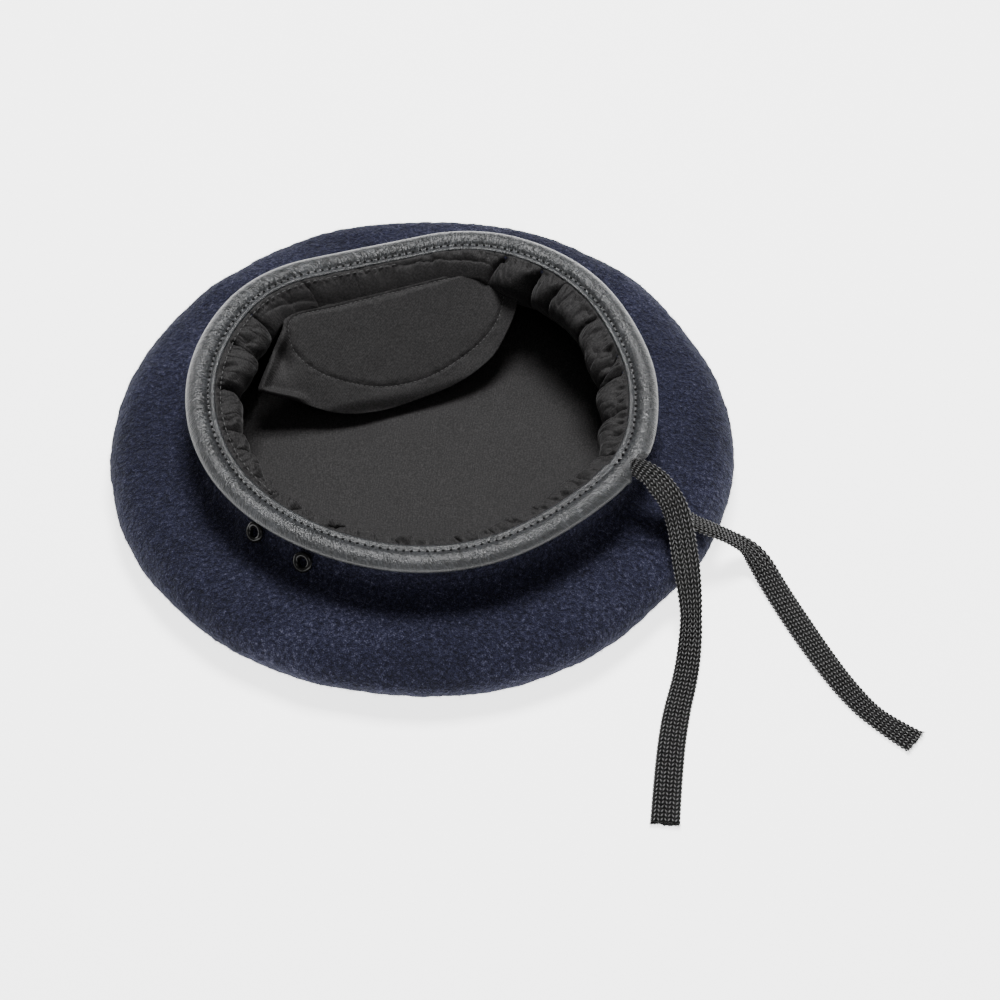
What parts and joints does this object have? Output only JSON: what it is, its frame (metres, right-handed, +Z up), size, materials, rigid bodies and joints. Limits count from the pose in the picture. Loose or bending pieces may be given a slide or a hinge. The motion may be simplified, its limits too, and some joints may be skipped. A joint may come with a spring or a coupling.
{
  "type": "beret",
  "caption": "Felted wool beret lying on its crown, with leather-bound head opening, gathered lining, badge stiffener, vent eyelets and a flat braided drawstring with two free tails.",
  "frame": {"origin": "middle of the crown's flat face, on the surface that the crown rests on", "axes": "+Z up out of the head opening, +X to the back of the head where the drawstring leaves the binding, +Y to the wearer's left where the stiffener is"},
  "size_m": [0.3723, 0.262, 0.0504],
  "materials": {
    "wool_felt": "navy milled wool felt, short nap",
    "binding_leather": "charcoal satin leather with fine grain",
    "lining_twill": "dark charcoal twill with a slight sheen",
    "stiffener_board": "matte board",
    "cord_braid": "black flat braid, slightly shiny yarn",
    "eyelet_enamel": "glossy black enamel",
    "thread": "dark sewing thread"
  },
  "bodies": {
    "hat": {"wool_shell": "wool_felt", "leather_binding": "binding_leather", "binding_topstitch": "thread", "side_lining": "lining_twill", "crown_lining": "lining_twill", "lining_seam_thread": "thread", "vent_eyelet_front": "eyelet_enamel", "vent_washer_front": "eyelet_enamel", "vent_eyelet_rear": "eyelet_enamel", "vent_washer_rear": "eyelet_enamel", "drawstring_in_binding": "cord_braid"},
    "stiffener": {"stiffener_pocket": "lining_twill", "stiffener_board": "stiffener_board", "pocket_topstitch": "thread"},
    "drawstring_tails": {"drawstring_tail_right": "cord_braid", "drawstring_tail_left": "cord_braid"}
  },
  "joints": [
    {"name": "stiffener_flap", "type": "hinge", "parent": "hat", "child": "stiffener", "pos_m": [-0.0447, 0.04784, 0.037], "axis": [-0.7193, -0.6947, 0], "range_deg": [0, 40]},
    {"name": "drawstring_pull", "type": "slide", "parent": "hat", "child": "drawstring_tails", "axis": [1, 0, 0], "range_m": [0, 0.015]}
  ]
}
